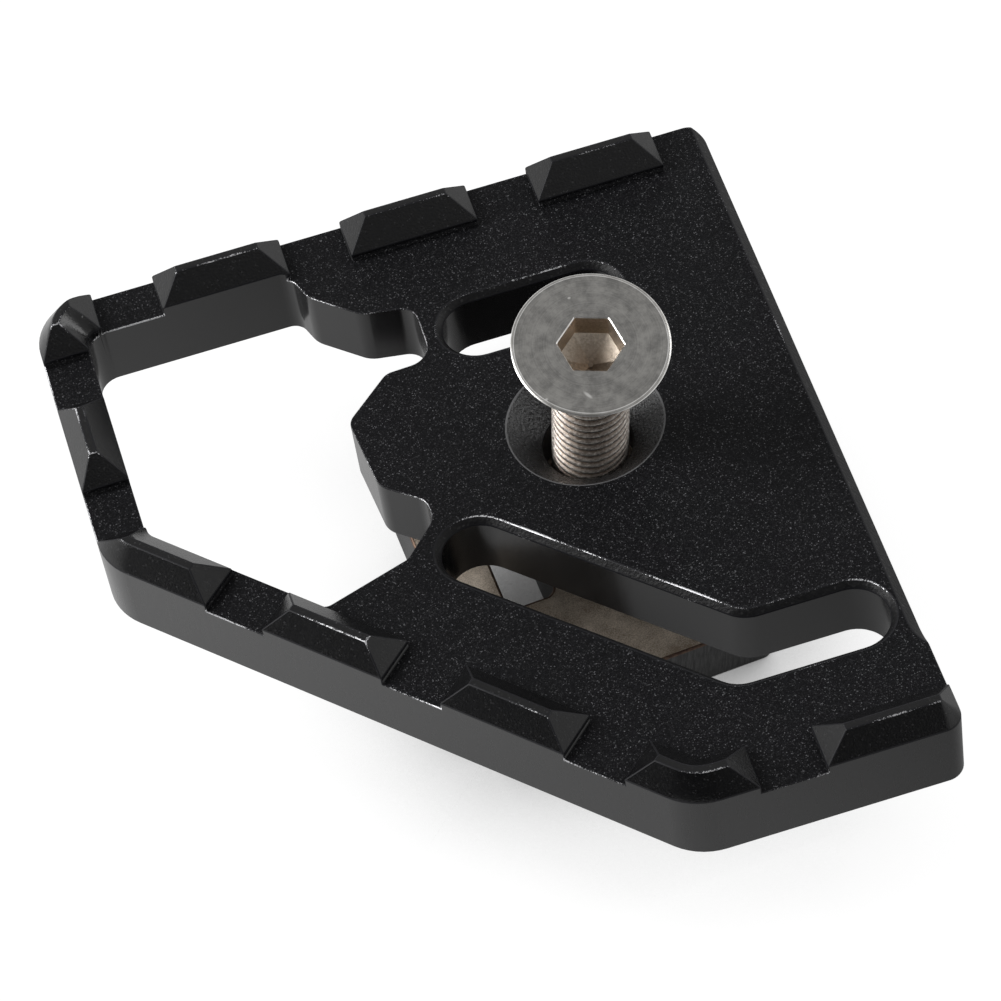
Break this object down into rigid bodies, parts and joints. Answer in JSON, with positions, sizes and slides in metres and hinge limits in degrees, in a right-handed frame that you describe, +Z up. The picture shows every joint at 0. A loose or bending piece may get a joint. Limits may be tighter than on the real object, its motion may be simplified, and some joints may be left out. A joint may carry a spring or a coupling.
{
  "type": "brake pedal extension",
  "caption": "Toothed black alloy foot plate with a cut corner, slots and a large opening, and a countersunk screw with a steel clamp jaw below it.",
  "frame": {"origin": "on the axis of the plate's countersunk hole, in the plane of the plate's underside, which lies on the pedal's pad", "axes": "+Z up, square to the plate, on the side of its teeth; +Y towards the plate's straight back edge; +X towards its bare right edge"},
  "size_m": [0.0554, 0.063, 0.0338],
  "materials": {
    "black_anodised": "fine bead-blasted black anodising, satin on the outer walls",
    "screw_steel": "brushed grey-brown steel",
    "jaw_steel": "dull sawn steel with darker sides"
  },
  "bodies": {
    "foot_plate": {"foot_plate": "black_anodised"},
    "jaw": {"jaw": "jaw_steel"},
    "screw": {"screw": "screw_steel"}
  },
  "joints": [
    {"name": "loose_lean", "type": "hinge", "parent": "foot_plate", "child": "jaw", "pos_m": [0, 0, 0.00152], "axis": [-0.9925, -0.1219, 0], "range_deg": [0, 13.5]},
    {"name": "screw_drive", "type": "slide", "parent": "jaw", "child": "screw", "axis": [-0.0284, 0.2317, -0.9724], "range_m": [0, 0.0144]}
  ],
  "couplings": [
    {"joint": "loose_lean", "follows": "screw_drive", "rad_per_m": 16.36}
  ]
}
